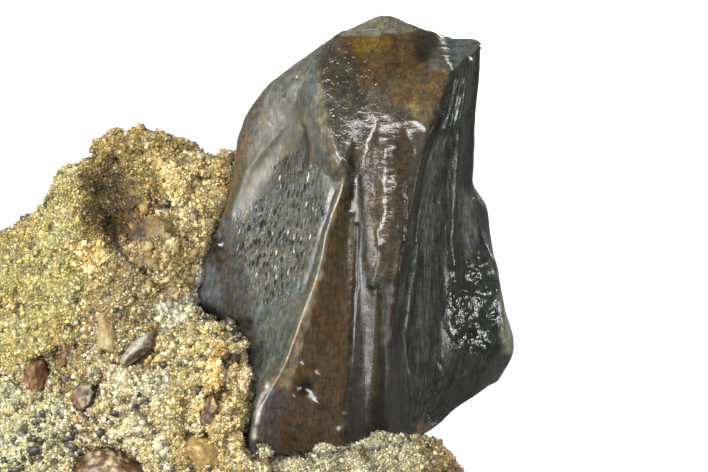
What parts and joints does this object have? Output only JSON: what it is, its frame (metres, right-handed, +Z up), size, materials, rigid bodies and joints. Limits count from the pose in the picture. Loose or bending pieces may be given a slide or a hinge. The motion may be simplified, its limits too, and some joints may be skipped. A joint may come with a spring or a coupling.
{
  "type": "fossil tooth in matrix",
  "caption": "Shed crown of a horned dinosaur's tooth, dark and glossy with keeled ridges, standing in a niche of a broken block of pebbly sandstone, cut flat underneath.",
  "frame": {"origin": "on the flat foot of the block, near the foot's middle", "axes": "+Z up, away from the foot; +X along the block, from the stone's end towards the tooth; -Y faces whoever looks at the tooth's ridged face"},
  "size_m": [0.0329, 0.0218, 0.0295],
  "materials": {
    "fossil_enamel": "glossy dark brown to blue-black",
    "sandstone": "matt, grainy, yellow-tan",
    "buff_chert": "smooth, matt",
    "fossil_bone": "smooth, satin",
    "ironstone": "smooth, satin"
  },
  "bodies": {
    "root": {"tooth": "fossil_enamel", "sandstone_matrix": "sandstone", "buff_pebble": "buff_chert", "brown_pebble": "ironstone", "tan_pebble": "buff_chert", "bone_splinter": "fossil_bone", "bone_sliver": "fossil_bone", "ironstone_chip_left": "ironstone", "ironstone_chip_middle": "ironstone", "ironstone_chip_upper": "ironstone", "clay_flake": "buff_chert"}
  },
  "joints": []
}
